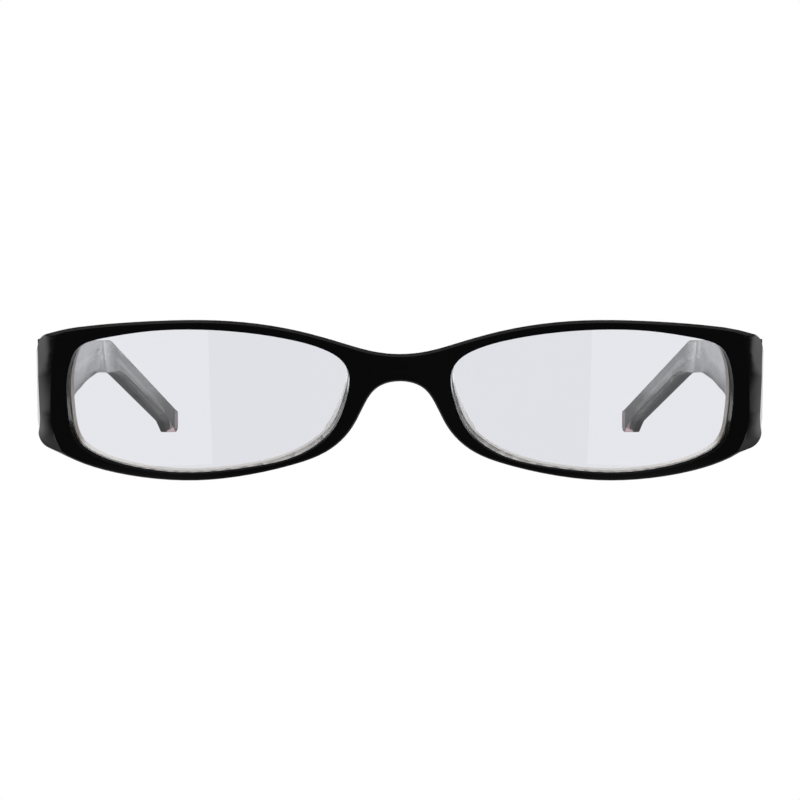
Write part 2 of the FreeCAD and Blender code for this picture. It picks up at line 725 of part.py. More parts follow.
def tipCorner():
    """Centre of the tip's lower corner, which stands on the floor."""
    radius = size["tipRadius"]
    drop = math.radians(size["armDrop"])
    y = armLength - size["innerThickness"] / 2 - radius
    z = (floor + radius - armPlace(1).Base.z + math.sin(drop) * y) / math.cos(drop)
    return (y, z)


def trimArm(body):
    """Cuts the strip to the arm's side view."""
    y, z = tipCorner()
    radius = size["tipRadius"]
    seat = leafBack + size["seatGap"]
    foot, top = [share * armHeight for share in seatShares]
    bottom = scaled(armBottomShares, armLength, armHeight)
    shoulder = scaled(shoulderShares, armLength, armHeight)
    tip = [(y + radius + along * size["tipThickness"], z + up * size["tipThickness"]) for along, up in tipShares]
    slope = math.atan2(bottom[1][1] - bottom[0][1], bottom[0][0] - bottom[1][0])
    under = (y - radius * math.sin(slope), z - radius * math.cos(slope))
    runs = [
        [(hingeDepthY(seat, top), top)],
        shoulder[:1],
        shoulder[1:],
        tip[:1],
        tip[1:],
        [(y + radius, z)],
        [(y, z - radius), under],
        bottom + [(hingeDepthY(seat, foot), foot)],
    ]
    sketch = newSketch(body, "side", "YZ_Plane")
    drawLoop(sketch, (hingeDepthY(seat, foot), foot), runs, armSide)
    wide = armHeight + overrun
    drawBox(sketch, (-armHeight, -wide), (armLength + 3 * overrun, wide), armSide)
    makePocket(body, "sideCut", sketch, 4 * armHeight, "armHeight")


def trimWire(body, grow):
    """Cuts the strip to the wire's side view, which follows the arm."""
    centre = scaled(wireShares, armLength, armHeight)
    half = size["wireHeight"] / 2 + grow
    first = centre[0][1]
    end = centre[-1][0] + grow
    upper = [(y, z + half) for y, z in centre[1:-1]]
    lower = [(y, z - half) for y, z in centre[-2:0:-1]]
    sketch = newSketch(body, "side", "YZ_Plane")
    runs = [
        upper + [(end, centre[-1][1] + half)],
        [(end, centre[-1][1] - half)],
        lower + [(hingeDepthY(size["leafLength"], first - half), first - half)],
        [(hingeDepthY(size["leafLength"], first + half), first + half)],
    ]
    drawLoop(sketch, (hingeDepthY(size["leafLength"], first + half), first + half), runs, armSide)
    wide = armHeight + overrun
    drawBox(sketch, (-armHeight, -wide), (2 * armLength, wide), armSide)
    makePocket(body, "sideCut", sketch, 4 * armHeight, "armHeight")


def cutHingeSlot(body, side):
    """Room for the barrels at the front of the arm, and the recess of its leaf."""
    radius = size["barrelRadius"] + size["armGap"]
    out = -overrun
    slot = newSketch(body, "slot", "XY_Plane", hingeLean)
    runs = [[(radius, -3 * overrun)], [(radius, 0)], [(radius * slant, radius * slant), (0, radius)],
            [(out, radius)], [(out, -3 * overrun)]]
    drawLoop(slot, (out * side, -3 * overrun), [mirrored(run, side) for run in runs], armUnits)
    tall = stackHeight + 2 * size["headHeight"] + 2 * size["armGap"]
    makePocket(body, "slotCut", slot, tall, "barrelHeight")
    recess = newSketch(body, "recess", "XY_Plane", hingeLean)
    low = (out * side, 0)
    high = ((size["barrelRadius"] + size["leafGap"]) * side, size["leafLength"])
    drawBox(recess, low, high, armUnits)
    makePocket(body, "recessCut", recess, stackHeight + 2 * size["leafGap"], "barrelHeight")


def makeOuterArm(name, side):
    body = makeArmStrip(name, side, size["innerThickness"], None, -2 * overrun)
    trimArm(body)
    return body


def makeInnerArm(name, side):
    body = makeArmStrip(name, side, 0, size["innerThickness"], -2 * overrun)
    trimArm(body)
    cutHingeSlot(body, side)
    return body


def makeWire(name, side, grow):
    near = size["wireCover"] - grow
    far = size["wireCover"] + size["wireThickness"] + grow
    body = makeArmStrip(name, side, near, far, 0)
    trimWire(body, grow)
    return body


# Every piece that is not cut by another
faceBlank = makeFaceBlank()
backBlank = makeBackBlank()
floor = faceBlank.Shape.optimalBoundingBox(False, False).ZMin
grooves = [makeLens("groove_" + hand, side, size["lensGap"]) for side, hand in hands]
recesses = [makeLeafRecess("recess_" + hand, side) for side, hand in hands]
bentSlab = makeSlab("bent_slab", -overrun, frontDepth)
bodies = []
cuts = [("front_face_layer", faceBlank, grooves), ("front_back_layer", backBlank, grooves + recesses)]
for side, hand in hands:
    bodies.append(makeLens("lens_" + hand, side, 0))
    bodies.append(makeFrontLeaf("front_hinge_leaf_" + hand, side))
    bodies.append(makeScrew("hinge_screw_" + hand, side))
    bodies.append(makeArmLeaf("temple_hinge_leaf_" + hand, side))
    bodies.append(makeOuterArm("temple_outer_layer_" + hand, side))
    bodies.append(makeWire("core_wire_" + hand, side, 0))
    cuts.append(("nose_pad_" + hand, makeNosePad("pad_blank_" + hand, side), [bentSlab]))
    channel = makeWire("channel_" + hand, side, size["wireGap"])
    cuts.append(("temple_inner_layer_" + hand, makeInnerArm("inner_blank_" + hand, side), [channel]))
doc.recompute()

# Stand the frame on the floor, with the middle of its footprint at the origin
boxes = [body.Shape.optimalBoundingBox(False, False) for body in bodies + [faceBlank, backBlank]]
low = Vector(0, min(box.YMin for box in boxes), min(box.ZMin for box in boxes))
high = Vector(0, max(box.YMax for box in boxes), max(box.ZMax for box in boxes))
shift = Placement(Vector(0, -(low.y + high.y) / 2, -low.z), Rotation())
for body in placed:
    body.Placement = shift * body.Placement

# The pieces that are cut by others
nodes = bodies
for name, base, tools in cuts:
    tool = tools[0]
    if len(tools) > 1:
        tool = doc.addObject("Part::MultiFuse", name + "_tools")
        tool.Shapes = tools
    cut = doc.addObject("Part::Cut", name)
    cut.Label = name
    cut.Base = base
    cut.Tool = tool
    nodes.append(cut)
doc.recompute()
pin = armPlace(1).Base + shift.Base
print("hinge pin at", pin, "shift", shift.Base)

# Check, then write every piece
for item in doc.Objects:
    if "Invalid" in item.State or "Error" in item.State:
        raise RuntimeError(item.Name + " is not built")
os.makedirs("parts", exist_ok=True)
for node in nodes:
    if node.Shape.isNull() or not node.Shape.isValid() or not node.Shape.Volume > 0:
        raise RuntimeError(node.Label + " is not a valid solid")
    if len(node.Shape.Solids) != 1:
        print(node.Label, "has", len(node.Shape.Solids), "solids")
    node.Shape.exportStep("parts/%s.step" % node.Label)
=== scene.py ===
import math
import bpy
from mathutils import Matrix, Vector


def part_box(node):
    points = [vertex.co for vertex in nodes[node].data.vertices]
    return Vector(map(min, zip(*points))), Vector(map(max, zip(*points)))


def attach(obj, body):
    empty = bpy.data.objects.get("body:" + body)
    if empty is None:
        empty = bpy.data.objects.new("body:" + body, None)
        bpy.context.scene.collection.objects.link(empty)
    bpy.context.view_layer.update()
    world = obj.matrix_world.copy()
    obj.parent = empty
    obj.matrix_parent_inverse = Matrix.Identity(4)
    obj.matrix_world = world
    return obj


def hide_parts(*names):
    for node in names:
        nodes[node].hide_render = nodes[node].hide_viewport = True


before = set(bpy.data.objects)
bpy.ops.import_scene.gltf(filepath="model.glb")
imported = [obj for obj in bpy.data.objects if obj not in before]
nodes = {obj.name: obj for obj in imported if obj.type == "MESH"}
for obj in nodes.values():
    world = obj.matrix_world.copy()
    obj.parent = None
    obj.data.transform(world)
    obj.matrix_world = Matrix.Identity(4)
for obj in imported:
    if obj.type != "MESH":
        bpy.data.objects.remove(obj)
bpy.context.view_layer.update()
hands = {"left": 1, "right": -1}  # and the side of the middle that each is on
millimetre = 0.001

print("camera")
view = {
    "place": (0, -0.7718, 0.0552), "downDegrees": 3.263,
    "focalMm": 170.1, "sensorMm": 36, "clipStart": 0.01,
}


def makeCamera():
    data = bpy.data.cameras.new("photoCamera")
    data.lens = view["focalMm"]
    data.sensor_width = view["sensorMm"]
    data.clip_start = view["clipStart"]
    camera = bpy.data.objects.new("photoCamera", data)
    bpy.context.scene.collection.objects.link(camera)
    camera.location = view["place"]
    camera.rotation_euler = (math.radians(90 - view["downDegrees"]), 0, 0)
    bpy.context.scene.camera = camera


makeCamera()

print("shared effects")
mixSockets = {"FLOAT": (2, 3, 0), "RGBA": (6, 7, 2)}  # where a Mix node has A, B and its result


def wire(tree, node, inputs):
    for label, value in inputs.items():
        if isinstance(value, bpy.types.NodeSocket):
            tree.links.new(value, node.inputs[label])
        else:
            node.inputs[label].default_value = value
    return node


def addNode(tree, kind, inputs):
    return wire(tree, tree.nodes.new("ShaderNode" + kind), inputs)


def arithmetic(tree, operation, *values):
    node = addNode(tree, "Math", dict(enumerate(values)))
    node.operation = operation
    return node.outputs[0]


def slope(tree, value, reach, low, high):
    start, end = reach
    ends = {"From Min": start, "From Max": end, "To Min": low, "To Max": high}
    node = addNode(tree, "MapRange", {"Value": value, **ends})
    node.interpolation_type = "SMOOTHSTEP"
    return node.outputs["Result"]


def mixed(tree, kind, share, first, second):
    node = tree.nodes.new("ShaderNodeMix")
    node.data_type = kind
    socketA, socketB, result = mixSockets[kind]
    wire(tree, node, {"Factor": share, socketA: first, socketB: second})
    return node.outputs[result]


def objectPlace(tree):
    return tree.nodes.new("ShaderNodeTexCoord").outputs["Object"]


def newGroup(name, inputs, outputs):
    group = bpy.data.node_groups.new(name, "ShaderNodeTree")
    for label, kind, value in inputs:
        socket = group.interface.new_socket(label, in_out="INPUT", socket_type="NodeSocket" + kind)
        socket.default_value = value
    for label, kind in outputs:
        group.interface.new_socket(label, in_out="OUTPUT", socket_type="NodeSocket" + kind)
    return group, group.nodes.new("NodeGroupInput").outputs, group.nodes.new("NodeGroupOutput")


wheelMarks = {"smearDetail": 4, "hairStretch": (60, 900, 900), "hairScale": 3, "hairDetail": 2,
              "contrast": (0.35, 0.7)}


def polishMarks():
    group, given, end = newGroup(
        "polishMarks",
        [("Scale", "Float", 60), ("Smear", "Float", 0.1), ("Low", "Float", 0.04), ("High", "Float", 0.12)],
        [("Roughness", "Float"), ("Height", "Float")],
    )
    place = objectPlace(group)
    smears = addNode(group, "TexNoise", {  # broad smears left by handling
        "Vector": place, "Scale": given["Scale"], "Detail": wheelMarks["smearDetail"]})
    stretched = addNode(group, "Mapping", {"Vector": place, "Scale": wheelMarks["hairStretch"]})
    hairs = addNode(group, "TexNoise", {  # fine marks that run along the wheel
        "Vector": stretched.outputs["Vector"],
        "Scale": wheelMarks["hairScale"], "Detail": wheelMarks["hairDetail"]})
    height = mixed(group, "FLOAT", given["Smear"], smears.outputs["Fac"], hairs.outputs["Fac"])
    low, high = wheelMarks["contrast"]
    rough = addNode(group, "MapRange", {
        "Value": height, "From Min": low, "From Max": high,
        "To Min": given["Low"], "To Max": given["High"]})
    wire(group, end, {"Roughness": rough.outputs["Result"], "Height": height})
    return group


def dustSpecks():
    group, given, end = newGroup(
        "dustSpecks",
        [("Scale", "Float", 900), ("Amount", "Float", 0.02)],
        [("Mask", "Float")],
    )
    cells = addNode(group, "TexVoronoi", {"Vector": objectPlace(group), "Scale": given["Scale"]})
    wire(group, end, {"Mask": arithmetic(group, "LESS_THAN", cells.outputs["Distance"], given["Amount"])})
    return group


def tintDrift():
    group, given, end = newGroup(
        "tintDrift",
        [("Scale", "Float", 60), ("Detail", "Float", 3),
         ("First", "Color", (0.4, 0.4, 0.4, 1)), ("Second", "Color", (0.5, 0.5, 0.5, 1))],
        [("Colour", "Color")],
    )
    clouds = addNode(group, "TexNoise", {
        "Vector": objectPlace(group), "Scale": given["Scale"], "Detail": given["Detail"]})
    colour = mixed(group, "RGBA", clouds.outputs["Fac"], given["First"], given["Second"])
    wire(group, end, {"Colour": colour})
    return group


# mask for painted shade, rising along an axis towards one end of a piece
def paintedShadeTowardsEnd():
    group, given, end = newGroup(
        "paintedShadeTowardsEnd",
        [("Axis", "Vector", (1, 0, 0)), ("From", "Float", 0), ("To", "Float", 1)],
        [("Mask", "Float")],
    )
    along = addNode(group, "VectorMath", {0: objectPlace(group), 1: given["Axis"]})
    along.operation = "DOT_PRODUCT"
    away = arithmetic(group, "ABSOLUTE", along.outputs["Value"])
    wire(group, end, {"Mask": slope(group, away, (given["From"], given["To"]), 0, 1)})
    return group


effects = {
    "polishMarks": polishMarks(), "dustSpecks": dustSpecks(),
    "tintDrift": tintDrift(), "paintedShadeTowardsEnd": paintedShadeTowardsEnd(),
}

print("materials")


def addEffect(tree, name, values):
    node = tree.nodes.new("ShaderNodeGroup")
    node.node_tree = effects[name]
    return wire(tree, node, values).outputs


def makeFinish(name, look):
    material = bpy.data.materials.new(name)
    material.use_nodes = True
    tree = material.node_tree
    colour = addEffect(tree, "tintDrift", look["tint"])["Colour"]
    if "dust" in look:
        specks = addEffect(tree, "dustSpecks", look["dust"])["Mask"]
        colour = mixed(tree, "RGBA", specks, colour, look["dustTint"])
    if "end" in look:  # painted shade: a darker tint towards one end of the piece
        share = addEffect(tree, "paintedShadeTowardsEnd", look["end"])["Mask"]
        colour = mixed(tree, "RGBA", share, colour, look["endPaintedShade"])
    marks = addEffect(tree, "polishMarks", look["polish"])
    lift = addNode(tree, "Bump", {**look["bump"], "Height": marks["Height"]})
    surface = {"Base Color": colour, "Roughness": marks["Roughness"], "Normal": lift.outputs["Normal"]}
    wire(tree, tree.nodes["Principled BSDF"], {**look["shader"], **surface})
    return material


blackSheet = {
    "shader": {"IOR": 1.48, "Specular IOR Level": 0.35},
    "tint": {"Scale": 40, "First": (0.0022, 0.0022, 0.0024, 1), "Second": (0.0036, 0.0036, 0.0038, 1)},
    "dust": {"Scale": 700, "Amount": 0.012}, "dustTint": (0.3, 0.3, 0.3, 1),
    "polish": {"Scale": 55, "Smear": 0.3, "Low": 0.05, "High": 0.14},
    "bump": {"Strength": 0.08, "Distance": 0.00002},
}
clearSheet = {
    "shader": {"IOR": 1.48, "Transmission Weight": 0.03, "Specular IOR Level": 0.15},
    "tint": {"Scale": 90, "First": (0.84, 0.81, 0.75, 1), "Second": (0.87, 0.84, 0.79, 1)},
    # painted shade: the clear layer is tinted dark at its temporal ends, where its side walls fall into
    # shade
    "end": {"Axis": (1, 0, 0), "From": 0.0585, "To": 0.0605}, "endPaintedShade": (0.3, 0.27, 0.24, 1),
    "polish": {"Scale": 70, "Smear": 0.25, "Low": 0.1, "High": 0.22},
    "bump": {"Strength": 0.03, "Distance": 0.00002},
}
smokeSheet = {
    "shader": {"IOR": 1.48, "Transmission Weight": 0.94},
    "tint": {"Scale": 60, "First": (0.34, 0.34, 0.35, 1), "Second": (0.44, 0.44, 0.45, 1)},
    # painted shade: the droop of the arm is tinted darker, standing in for the light it reflects less of
    "end": {"Axis": (0, 1, 0), "From": 0.026, "To": 0.04}, "endPaintedShade": (0.36, 0.36, 0.37, 1),
    "polish": {"Scale": 65, "Smear": 0.3, "Low": 0.06, "High": 0.16},
    "bump": {"Strength": 0.08, "Distance": 0.00002},
}
padSheet = {
    "shader": {"IOR": 1.48, "Transmission Weight": 0.1, "Specular IOR Level": 0.2},
    "tint": {"Scale": 120, "First": (0.72, 0.73, 0.67, 1), "Second": (0.78, 0.78, 0.72, 1)},
    "polish": {"Scale": 90, "Smear": 0.3, "Low": 0.12, "High": 0.25},
    "bump": {"Strength": 0.03, "Distance": 0.00002},
}
tipPolish = {
    "shader": {"IOR": 1.48, "Transmission Weight": 0.3},
    "tint": {"Scale": 300, "First": (0.7, 0.48, 0.5, 1), "Second": (0.82, 0.62, 0.62, 1)},
    "polish": {"Scale": 120, "Smear": 0.4, "Low": 0.12, "High": 0.3},
    "bump": {"Strength": 0.1, "Distance": 0.00002},
}
lensGlass = {
    "shader": {"IOR": 1.5, "Transmission Weight": 1.0},
    "tint": {"Scale": 30, "First": (0.803, 0.812, 0.854, 1), "Second": (0.813, 0.821, 0.86, 1)},
    "polish": {"Scale": 40, "Smear": 0.1, "Low": 0.0, "High": 0.012},
    "bump": {"Strength": 0.01, "Distance": 0.00002},
}
lensEdge = {
    "shader": {"IOR": 1.5, "Transmission Weight": 0.35},
    "tint": {"Scale": 400, "First": (0.8, 0.82, 0.82, 1), "Second": (0.92, 0.93, 0.93, 1)},
    "polish": {"Scale": 300, "Smear": 0.6, "Low": 0.35, "High": 0.6},
    "bump": {"Strength": 0.3, "Distance": 0.00002},
}
nickelPlate = {
    "shader": {"Metallic": 1.0},
    "tint": {"Scale": 500, "First": (0.62, 0.61, 0.6, 1), "Second": (0.72, 0.71, 0.69, 1)},
    "polish": {"Scale": 500, "Smear": 0.6, "Low": 0.12, "High": 0.3},
    "bump": {"Strength": 0.2, "Distance": 0.00002},
}
screwSteel = {
    "shader": {"Metallic": 1.0},
    "tint": {"Scale": 700, "First": (0.5, 0.5, 0.51, 1), "Second": (0.62, 0.62, 0.62, 1)},
    "polish": {"Scale": 700, "Smear": 0.6, "Low": 0.2, "High": 0.38},
    "bump": {"Strength": 0.2, "Distance": 0.00002},
}
coreSteel = {
    "shader": {"Metallic": 0.1},
    "tint": {"Scale": 400, "First": (0.88, 0.84, 0.78, 1), "Second": (0.96, 0.92, 0.86, 1)},
    "polish": {"Scale": 400, "Smear": 0.6, "Low": 0.35, "High": 0.5},
    "bump": {"Strength": 0.2, "Distance": 0.00002},
}
finishes = {
    "black": makeFinish("blackSheet", blackSheet),
    "clear": makeFinish("clearSheet", clearSheet),
    "smoke": makeFinish("smokeSheet", smokeSheet),
    "pad": makeFinish("padSheet", padSheet),
    "tip": makeFinish("tipPolish", tipPolish),
    "lens": makeFinish("lensGlass", lensGlass),
    "lensEdge": makeFinish("lensEdge", lensEdge),
    "nickel": makeFinish("nickelPlate", nickelPlate),
    "steel": makeFinish("screwSteel", screwSteel),
    "core": makeFinish("coreSteel", coreSteel),
}

print("ways to shape a piece")
meshing = {"mergeWithin": 0.000002, "flatDegrees": 0.5, "bevelSegments": 3, "gluedTurn": 0.5}


def activate(piece):
    bpy.ops.object.select_all(action="DESELECT")
    bpy.context.view_layer.objects.active = piece
    piece.select_set(True)


def copyNode(node, name):
    mesh = nodes[node].data.copy()
    mesh.name = name
    piece = bpy.data.objects.new(name, mesh)
    bpy.context.scene.collection.objects.link(piece)
    activate(piece)
    bpy.ops.object.mode_set(mode="EDIT")
    bpy.ops.mesh.select_all(action="SELECT")
    bpy.ops.mesh.remove_doubles(threshold=meshing["mergeWithin"])
    bpy.ops.mesh.normals_make_consistent(inside=False)
    bpy.ops.mesh.dissolve_limited(angle_limit=math.radians(meshing["flatDegrees"]))  # joins flat faces
    bpy.ops.object.mode_set(mode="OBJECT")
    mesh.materials.clear()
    return piece


def markEdges(piece, look, bonded, creased):
    mesh = piece.data
    weights = mesh.attributes.new("bevel_weight_edge", "FLOAT", "EDGE")
    sides = {}
    for face in mesh.polygons:
        for key in face.edge_keys:
            sides.setdefault(key, []).append(face.normal)
    for edge in mesh.edges:
        pair = sides.get(edge.key, [])
        if len(pair) != 2:
            continue
        turn = math.degrees(pair[0].angle(pair[1], 0.0))
        sharp = turn > look["sharpDegrees"]
        if creased and turn > look["creaseDegrees"]:
            sharp = sharp or all(creased(mesh.vertices[end].co) for end in edge.vertices)
        glued = any(normal.dot(bonded) > meshing["gluedTurn"] for normal in pair)
        edge.use_edge_sharp = edge.use_edge_sharp or sharp
        if sharp and not glued:  # a glued seam stays flush
            weights.data[edge.index].value = 1.0


def softenEdges(piece, look, bonded, creased):
    activate(piece)
    if look["rounding"]:
        markEdges(piece, look, bonded, creased)
        soft = piece.modifiers.new("softEdges", "BEVEL")
        soft.width = look["rounding"]
        soft.segments = meshing["bevelSegments"]
        soft.limit_method = "WEIGHT"
        soft.use_clamp_overlap = True
        soft.harden_normals = True
    bpy.ops.object.shade_smooth_by_angle(angle=math.radians(look["sharpDegrees"]))
    if look["rounding"]:
        bpy.ops.object.modifier_apply(modifier=soft.name)


def dress(node, name, body, look, shape=None, bonded=(0, 0, 0), creased=None):
    piece = copyNode(node, name)
    if shape:
        shape(piece)
    piece.data.materials.append(finishes[look["finish"]])
    softenEdges(piece, look, Vector(bonded), creased)
    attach(piece, body)
    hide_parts(node)
    return piece


def secondFinish(piece, finish, chosen):
    piece.data.materials.append(finishes[finish])
    for face in piece.data.polygons:
        if chosen(face):
            face.material_index = len(piece.data.materials) - 1


def tilted(origin, degrees):  # from a piece's own millimetres to the scene
    turn = Matrix.Rotation(math.radians(degrees), 3, "X")
    return Matrix.LocRotScale(Vector(origin), turn, Vector((millimetre, millimetre, millimetre)))


def reshape(piece, place, rule):
    inside = place.inverted()
    for vertex in piece.data.vertices:
        local = inside @ vertex.co
        rule(local, math.copysign(1, local.x))
        vertex.co = place @ local


def ease(value, start, end):
    share = min(1.0, max(0.0, (value - start) / (end - start)))
    return share * share * (3 - 2 * share)


def readTable(table, value):
    for (here, low), (there, high) in zip(table, table[1:]):
        if value <= there:
            share = min(1.0, max(0.0, (value - here) / (there - here)))
            return low + (high - low) * share
    return table[-1][1]


print("front")
# millimetres, across, back and up from the middle of the leaning front
frontForm = {
    "origin": (0, -0.0718413, 0.0148649), "leanDegrees": 11.5, "lensCentre": 35.5,
    "corners": [
        {"at": (66.8, -9.6), "reach": 4.6, "push": (0.25, -0.4)},
        {"at": (63.0, 11.8), "reach": 6.5, "push": (0.0, 0.22)},
        {"at": (67.2, 0.0), "reach": 9.0, "push": (0.22, 0.0)},
        {"at": (67.2, 9.5), "reach": 5.0, "push": (-0.05, 0.0)},
    ],
}
frontPlace = tilted(frontForm["origin"], frontForm["leanDegrees"])
toFront = frontPlace.inverted()


def fuller(local, side):
    for corner in frontForm["corners"]:
        across, up = corner["at"]
        near = 1 - ease(math.hypot(abs(local.x) - across, local.z - up), 0, corner["reach"])
        local.x += side * corner["push"][0] * near
        local.z += corner["push"][1] * near


# a lip's wall stands square to the sheet, looks at the lens centre, and is near it and off the bridge
lipTest = {"flat": 0.6, "upright": 0.5, "inward": 0.3, "farthest": 28, "bridge": 3}


def frontNormal(face):
    return (frontPlace.to_3x3().transposed() @ face.normal).normalized()


def lipFaces(mesh, edge):
    for face in mesh.polygons:
        normal = frontNormal(face)
        centre = toFront @ face.center
        inward = Vector((math.copysign(frontForm["lensCentre"], centre.x) - centre.x, 0, -centre.z))
        upright = abs(normal.y) < lipTest["upright"]
        looksIn = normal.dot(inward) > lipTest["inward"] * inward.length
        isNear = inward.length < lipTest["farthest"] and abs(centre.x) > lipTest["bridge"]
        if upright and looksIn and isNear and edge & set(face.vertices):
            yield face, Vector((normal.x, 0, normal.z)).normalized()


def narrowLip(piece, look):
    mesh = piece.data
    edge = set()
    for face in mesh.polygons:
        if frontNormal(face).y * look["facing"] > lipTest["flat"]:
            edge.update(face.vertices)
    pushes = {}
    for face, normal in lipFaces(mesh, edge):
        for index in face.vertices:
            pushes[index] = pushes.get(index, Vector()) + normal
    for index, push in pushes.items():
        local = toFront @ mesh.vertices[index].co
        angle = math.degrees(math.atan2(local.z, abs(local.x) - frontForm["lensCentre"]))
        amount = readTable(look["narrower"], angle) * (look["edgeShare"] if index in edge else 1)
        mesh.vertices[index].co = frontPlace @ (local + push.normalized() * amount)


# "narrower" holds degrees about the lens centre and how much narrower the lip is there
blackFront = {
    "slot": "black_acetate", "finish": "black", "rounding": 0.00006, "sharpDegrees": 20, "creaseDegrees": 6,
    "facetFrom": 63.9, "facetDepth": 6.15, "facetInward": 0.55, "facetForward": 0.165, "facetMargin": 1.5,
    "lip": {"facing": -1, "edgeShare": 0.5, "narrower": [
        (-180, 0.03), (-60, 0.03), (-40, 0.15), (-25, 0.25), (-5, 0.22), (3, 0.12), (14, 0.2),
        (20, 0.12), (30, 0.0), (180, 0.03)]},
}
clearBack = {
    "slot": "clear_acetate", "finish": "clear", "rounding": 0.00006, "sharpDegrees": 20,
    "cornerReach": (60, 66), "cornerFoot": 8.0, "cornerDepth": 9.0, "drop": 0.25, "dropPerDepth": 0.2,
    "endFrom": 66.5, "endInset": 0.42,
    "lip": {"facing": 1, "edgeShare": 1.0, "narrower": [
        (-180, 0.25), (-170, 0.3), (-163, 0.4), (-157, 0.5), (-148, 0.5), (-139, 0.3), (-128, 0.12),
        (-115, 0.0), (170, 0.0), (180, 0.25)]},
}


def widerFacet(local, side):
    if abs(local.x) > blackFront["facetFrom"] and local.y < blackFront["facetDepth"]:
        local.x -= side * blackFront["facetInward"]
        local.y -= blackFront["facetForward"]
    fuller(local, side)


def onFacet(point):
    local = toFront @ point
    start = blackFront["facetFrom"] - blackFront["facetMargin"]
    return abs(local.x) > start and local.y < blackFront["facetDepth"]


def shapeFront(piece):
    reshape(piece, frontPlace, widerFacet)
    narrowLip(piece, blackFront["lip"])


def lowerCorner(local, side):
    if local.z > clearBack["cornerFoot"] and local.y > clearBack["cornerDepth"]:
        drop = clearBack["drop"] + clearBack["dropPerDepth"] * (local.y - clearBack["cornerDepth"])
        local.z -= drop * ease(abs(local.x), *clearBack["cornerReach"])
    if abs(local.x) > clearBack["endFrom"]:
        local.x -= side * clearBack["endInset"]
    fuller(local, side)


def shapeBack(piece):
    reshape(piece, frontPlace, lowerCorner)
    narrowLip(piece, clearBack["lip"])


frontPiece = dress("front_face_layer", "blackFront", "front", blackFront, shapeFront, (0, 1, 0), onFacet)
backPiece = dress("front_back_layer", "clearBack", "front", clearBack, shapeBack, (0, -1, 0))

print("lenses, pads, hinges and arms")
demoLens = {
    "slot": "lens", "finish": "lens", "rounding": 0, "sharpDegrees": 32,
    "bendAxis": (0.02679, 0.05751, 0.04118), "edgeTurn": 0.85,
}


def onRim(face):
    return abs(face.normal.y) < demoLens["edgeTurn"]


def trueCurve(lens, side):
    axis = (frontPlace.to_3x3() @ Vector((0, 0, 1))).normalized()
    middle = Vector(demoLens["bendAxis"])  # both faces share one axis, so the view isn't bent
    middle.x *= side
    mesh = lens.data
    normals = [corner.vector.copy() for corner in mesh.corner_normals]
    for face in mesh.polygons:
        if onRim(face):
            continue
        for loop in face.loop_indices:
            out = mesh.vertices[mesh.loops[loop].vertex_index].co - middle
            out -= axis * out.dot(axis)
            normals[loop] = out.normalized() * (1 if face.normal.y < 0 else -1)
    mesh.normals_split_custom_set(normals)


def makeLens(hand, side):
    lens = dress("lens_" + hand, "demoLens_" + hand, "front", demoLens)
    trueCurve(lens, side)
    secondFinish(lens, "lensEdge", onRim)
    return lens


nosePad = {
    "slot": "pad_acetate", "finish": "pad", "rounding": 0.0003, "sharpDegrees": 32, "slimming": 0.9,
    # height on the front, and how far from the middle the pad shows there, millimetres
    "outline": [(-9.7, 16.9), (-7.76, 14.5), (-5.8, 13.17), (-3.86, 12.26), (-1.9, 11.49), (0.0, 10.77),
                (4.0, 9.6)],
}


def slimPad(local, side):
    over = abs(local.x) - readTable(nosePad["outline"], local.z)
    if over > 0:
        local.x -= side * over * nosePad["slimming"]


def shapePad(piece):
    reshape(piece, frontPlace, slimPad)


hingeLeaf = {"slot": "hinge_metal", "finish": "nickel", "rounding": 0.00005, "sharpDegrees": 32}
hingeScrew = {"slot": "screw_metal", "finish": "steel", "rounding": 0.00005, "sharpDegrees": 32}


def makeHinge(hand):
    dress("front_hinge_leaf_" + hand, "frontLeaf_" + hand, "front", hingeLeaf)
    dress("hinge_screw_" + hand, "screw_" + hand, "front", hingeScrew)
    dress("temple_hinge_leaf_" + hand, "armLeaf_" + hand, "arm_" + hand, hingeLeaf)


# millimetres, across, along and up from the front end of each arm
armForm = {
    "origin": (0.0627, -0.0595416, 0.0173673), "turnDegrees": -2.6, "tipLength": 2.5,
    "droopStart": 95.5, "droopEnd": 133, "snap": 0.4, "tipFoot": -8, "tipDrop": 0.6,
    "underWas": [(95.5, 2.1), (99.4, 1.73), (102.3, 1.24), (105.7, 0.34), (108.8, -0.87), (111.7, -2.37),
                 (114.4, -3.8), (116.5, -4.78), (119, -5.66), (121, -6.2), (124, -7.0), (126, -7.6),
                 (128, -8.35), (130, -9.4), (132, -10.7), (133, -11.3)],
    "underIs": [(95.5, 2.1), (101, 2.25), (103.5, 2.45), (106, 1.62), (130.6, -8.92), (133, -11.3)],
    "overWas": [(95.5, 8.87), (97.1, 8.82), (98.1, 8.65), (100, 8.0), (134, -6.0)],
    "overIs": [(95.5, 8.87), (97.3, 9.1), (98.6, 8.9), (100, 8.3), (134, -6.6)],
    "seatLength": (-4, 12), "top": 7, "topTrim": 0.95, "foot": -6, "footTrim": 1.1,
    "sideLength": (-2, 14), "outside": 5.2, "sideTrim": 0.45,
}
armOutside = {"slot": "black_acetate", "finish": "black", "rounding": 0.0007, "sharpDegrees": 32}
armInside = {"slot": "smoke_acetate", "finish": "smoke", "rounding": 0.0005, "sharpDegrees": 32}
coreWire = {"slot": "core_metal", "finish": "core", "rounding": 0.0001, "sharpDegrees": 32}


def trimSeat(local, side):
    near = 1 - ease(local.y, *armForm["seatLength"])
    if local.z > armForm["top"]:
        local.z -= armForm["topTrim"] * near
    if local.z < armForm["foot"]:
        local.z += armForm["footTrim"] * near
    if abs(local.x) > armForm["outside"]:
        local.x -= side * armForm["sideTrim"] * (1 - ease(local.y, *armForm["sideLength"]))


